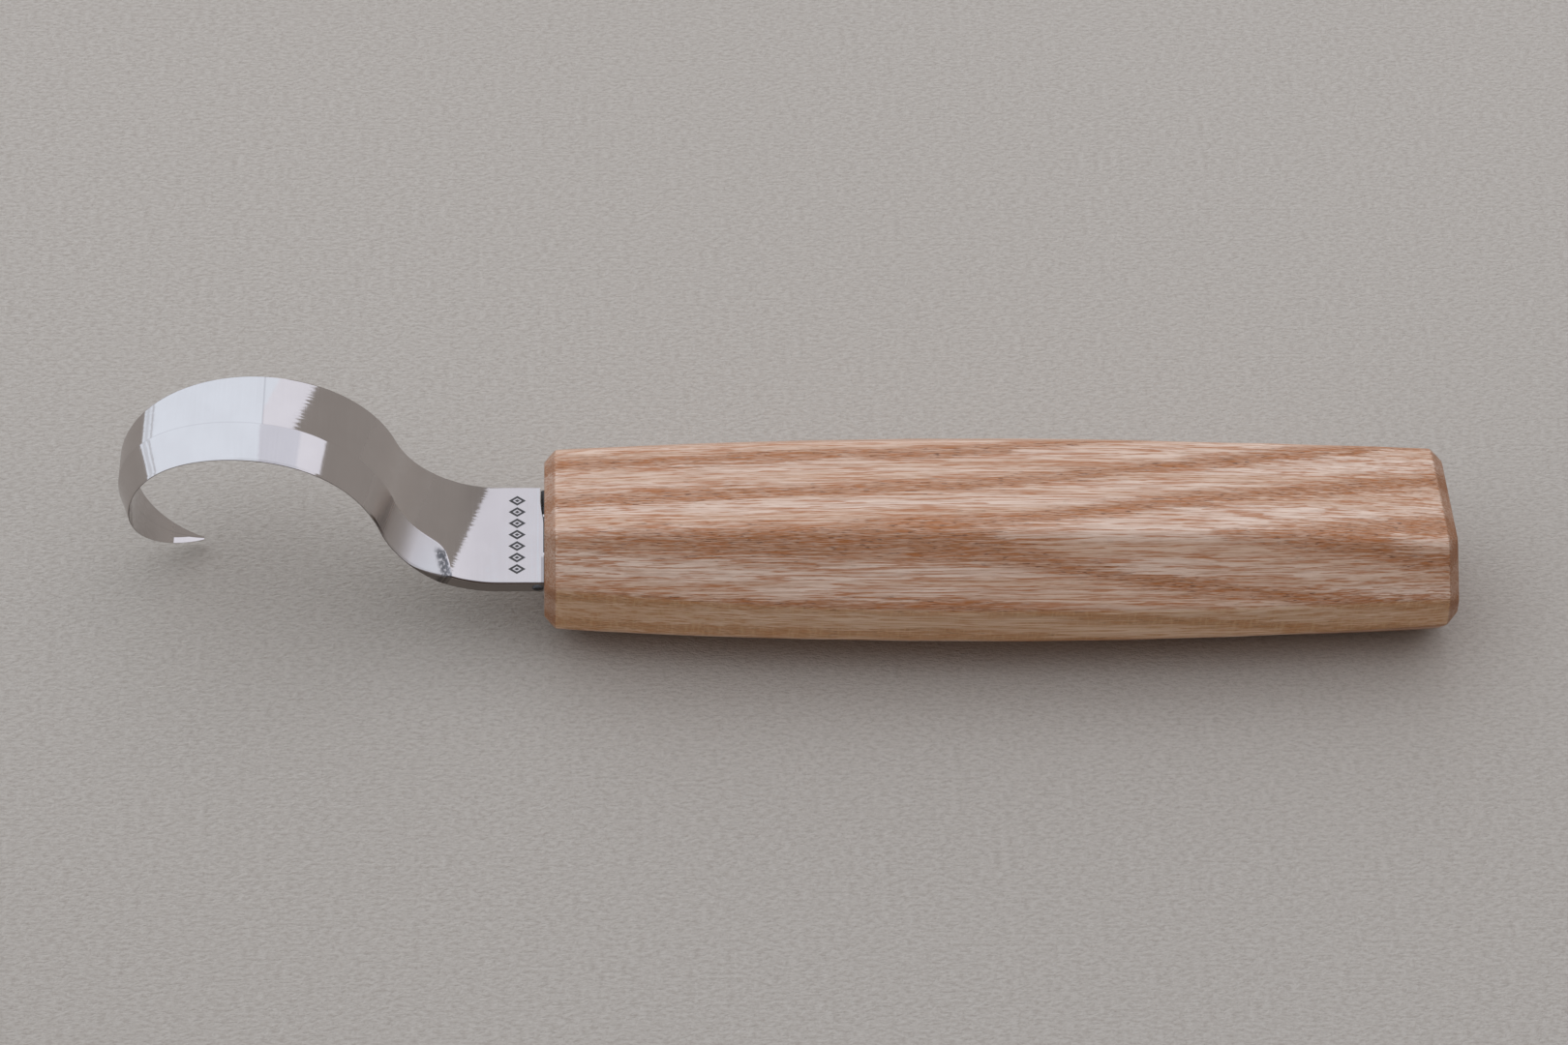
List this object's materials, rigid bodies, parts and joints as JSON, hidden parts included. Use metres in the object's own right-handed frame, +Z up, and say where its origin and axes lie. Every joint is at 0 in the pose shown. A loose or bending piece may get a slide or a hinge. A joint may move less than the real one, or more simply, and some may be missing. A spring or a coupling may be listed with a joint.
{
  "type": "hook knife",
  "caption": "Spoon-carving hook knife: bent strip-steel blade with an outside bevel, its tang bedded in epoxy in an eight-sided barrel handle of ash wood.",
  "frame": {"origin": "on the level resting flat of the handle's underside, under the middle of the handle's length", "axes": "+X along the handle towards its butt, so the hook is at -X; +Y towards the blade's spine; +Z up, away from the surface it lies on"},
  "size_m": [0.1605, 0.027, 0.0314],
  "materials": {
    "steel": "polished",
    "wood": "satin oil",
    "epoxy": "cured resin, slightly glossy"
  },
  "bodies": {
    "root": {"blade": "steel", "handle": "wood", "tang_epoxy": "epoxy"}
  },
  "joints": []
}
